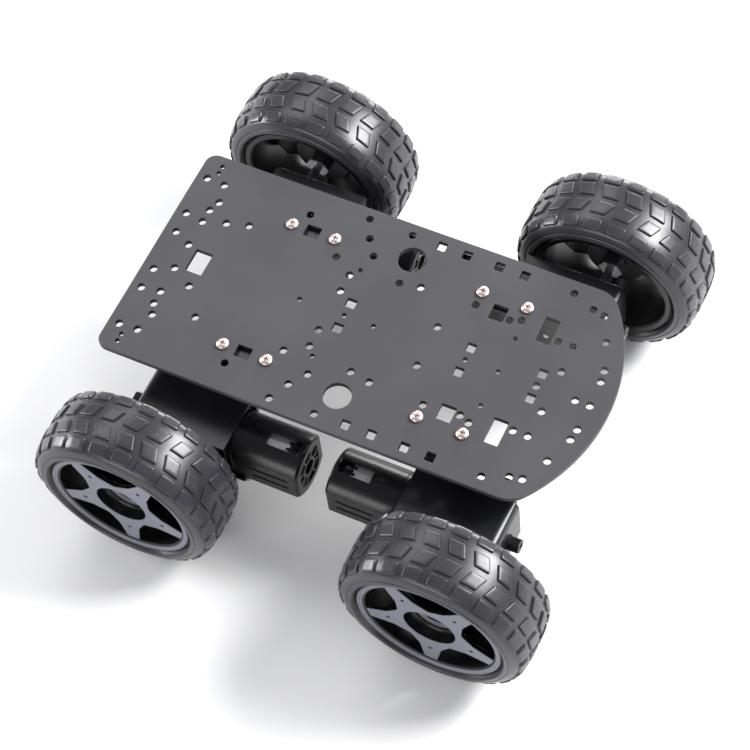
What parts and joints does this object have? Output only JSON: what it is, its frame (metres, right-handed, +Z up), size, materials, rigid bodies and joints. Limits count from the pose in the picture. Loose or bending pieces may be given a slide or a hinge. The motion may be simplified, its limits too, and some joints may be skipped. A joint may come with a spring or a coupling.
{
  "type": "four wheel robot chassis",
  "caption": "Wheeled robot base: a perforated flat deck with a rounded nose, carried on right-angle geared motor units, each driving a star-spoked wheel with a block-tread tyre.",
  "frame": {"origin": "on the ground midway between the four tyre contacts", "axes": "+X forward towards the rounded nose of the deck, +Y to the left wheels, +Z up"},
  "size_m": [0.2644, 0.2474, 0.099],
  "materials": {
    "deck_metal": "satin dark grey anodised sheet, fine grain",
    "black_sheet": "satin black coated sheet steel",
    "black_plastic": "satin black moulded plastic",
    "black_bolt": "black oxide",
    "motor_steel": "zinc plated drawn steel",
    "gear_plastic": "natural acetal",
    "shaft_steel": "turned steel",
    "nickel_screw": "bright nickel plate",
    "rim_plastic": "satin lavender grey moulded plastic with a soft metallic look",
    "tyre_rubber": "dark grey rubber with a faint sheen"
  },
  "bodies": {
    "chassis": {"deck_plate": "deck_metal", "front_left_deck_screw_1": "nickel_screw", "front_left_deck_screw_2": "nickel_screw", "front_left_mount_bracket": "black_sheet", "front_left_gear_case": "black_plastic", "front_left_case_wrap": "black_sheet", "front_left_end_bolt": "black_bolt", "front_left_motor_cover": "black_plastic", "front_left_motor_can": "motor_steel", "front_right_deck_screw_1": "nickel_screw", "front_right_deck_screw_2": "nickel_screw", "front_right_mount_bracket": "black_sheet", "front_right_gear_case": "black_plastic", "front_right_case_wrap": "black_sheet", "front_right_end_bolt": "black_bolt", "front_right_motor_cover": "black_plastic", "front_right_motor_can": "motor_steel", "rear_left_deck_screw_1": "nickel_screw", "rear_left_deck_screw_2": "nickel_screw", "rear_left_mount_bracket": "black_sheet", "rear_left_gear_case": "black_plastic", "rear_left_case_wrap": "black_sheet", "rear_left_end_bolt": "black_bolt", "rear_left_motor_cover": "black_plastic", "rear_left_motor_can": "motor_steel", "rear_right_deck_screw_1": "nickel_screw", "rear_right_deck_screw_2": "nickel_screw", "rear_right_mount_bracket": "black_sheet", "rear_right_gear_case": "black_plastic", "rear_right_case_wrap": "black_sheet", "rear_right_end_bolt": "black_bolt", "rear_right_motor_cover": "black_plastic", "rear_right_motor_can": "motor_steel"},
    "front_left_wheel": {"front_left_tyre": "tyre_rubber", "front_left_wheel_rim": "rim_plastic", "front_left_wheel_nut": "shaft_steel", "front_left_output_shaft": "shaft_steel"},
    "front_left_crown": {"front_left_crown_gear": "gear_plastic"},
    "front_left_rotor": {"front_left_motor_rotor": "motor_steel"},
    "front_right_wheel": {"front_right_tyre": "tyre_rubber", "front_right_wheel_rim": "rim_plastic", "front_right_wheel_nut": "shaft_steel", "front_right_output_shaft": "shaft_steel"},
    "front_right_crown": {"front_right_crown_gear": "gear_plastic"},
    "front_right_rotor": {"front_right_motor_rotor": "motor_steel"},
    "rear_left_wheel": {"rear_left_tyre": "tyre_rubber", "rear_left_wheel_rim": "rim_plastic", "rear_left_wheel_nut": "shaft_steel", "rear_left_output_shaft": "shaft_steel"},
    "rear_left_crown": {"rear_left_crown_gear": "gear_plastic"},
    "rear_left_rotor": {"rear_left_motor_rotor": "motor_steel"},
    "rear_right_wheel": {"rear_right_tyre": "tyre_rubber", "rear_right_wheel_rim": "rim_plastic", "rear_right_wheel_nut": "shaft_steel", "rear_right_output_shaft": "shaft_steel"},
    "rear_right_crown": {"rear_right_crown_gear": "gear_plastic"},
    "rear_right_rotor": {"rear_right_motor_rotor": "motor_steel"}
  },
  "joints": [
    {"name": "front_left_wheel_spin", "type": "hinge", "parent": "chassis", "child": "front_left_wheel", "pos_m": [0.0827, 0.104, 0.0495], "axis": [0, 1, 0], "continuous": true},
    {"name": "front_left_crown_spin", "type": "hinge", "parent": "chassis", "child": "front_left_crown", "pos_m": [0.06813, 0.0584, 0.0478], "axis": [0, 1, 0], "continuous": true},
    {"name": "front_left_rotor_spin", "type": "hinge", "parent": "chassis", "child": "front_left_rotor", "pos_m": [0.0573, 0.0647, 0.0478], "axis": [1, 0, 0], "continuous": true},
    {"name": "front_right_wheel_spin", "type": "hinge", "parent": "chassis", "child": "front_right_wheel", "pos_m": [0.0827, -0.104, 0.0495], "axis": [0, 1, 0], "continuous": true},
    {"name": "front_right_crown_spin", "type": "hinge", "parent": "chassis", "child": "front_right_crown", "pos_m": [0.06813, -0.0584, 0.0478], "axis": [0, 1, 0], "continuous": true},
    {"name": "front_right_rotor_spin", "type": "hinge", "parent": "chassis", "child": "front_right_rotor", "pos_m": [0.0573, -0.0647, 0.0478], "axis": [1, 0, 0], "continuous": true},
    {"name": "rear_left_wheel_spin", "type": "hinge", "parent": "chassis", "child": "rear_left_wheel", "pos_m": [-0.0827, 0.104, 0.0495], "axis": [0, 1, 0], "continuous": true},
    {"name": "rear_left_crown_spin", "type": "hinge", "parent": "chassis", "child": "rear_left_crown", "pos_m": [-0.06813, 0.0584, 0.0478], "axis": [0, 1, 0], "continuous": true},
    {"name": "rear_left_rotor_spin", "type": "hinge", "parent": "chassis", "child": "rear_left_rotor", "pos_m": [-0.0573, 0.0647, 0.0478], "axis": [1, 0, 0], "continuous": true},
    {"name": "rear_right_wheel_spin", "type": "hinge", "parent": "chassis", "child": "rear_right_wheel", "pos_m": [-0.0827, -0.104, 0.0495], "axis": [0, 1, 0], "continuous": true},
    {"name": "rear_right_crown_spin", "type": "hinge", "parent": "chassis", "child": "rear_right_crown", "pos_m": [-0.06813, -0.0584, 0.0478], "axis": [0, 1, 0], "continuous": true},
    {"name": "rear_right_rotor_spin", "type": "hinge", "parent": "chassis", "child": "rear_right_rotor", "pos_m": [-0.0573, -0.0647, 0.0478], "axis": [1, 0, 0], "continuous": true}
  ],
  "couplings": [
    {"joint": "front_left_crown_spin", "follows": "front_left_wheel_spin", "ratio": -3},
    {"joint": "front_left_rotor_spin", "follows": "front_left_wheel_spin", "ratio": 9},
    {"joint": "front_right_crown_spin", "follows": "front_right_wheel_spin", "ratio": -3},
    {"joint": "front_right_rotor_spin", "follows": "front_right_wheel_spin", "ratio": -9},
    {"joint": "rear_left_crown_spin", "follows": "rear_left_wheel_spin", "ratio": -3},
    {"joint": "rear_left_rotor_spin", "follows": "rear_left_wheel_spin", "ratio": -9},
    {"joint": "rear_right_crown_spin", "follows": "rear_right_wheel_spin", "ratio": -3},
    {"joint": "rear_right_rotor_spin", "follows": "rear_right_wheel_spin", "ratio": 9}
  ]
}
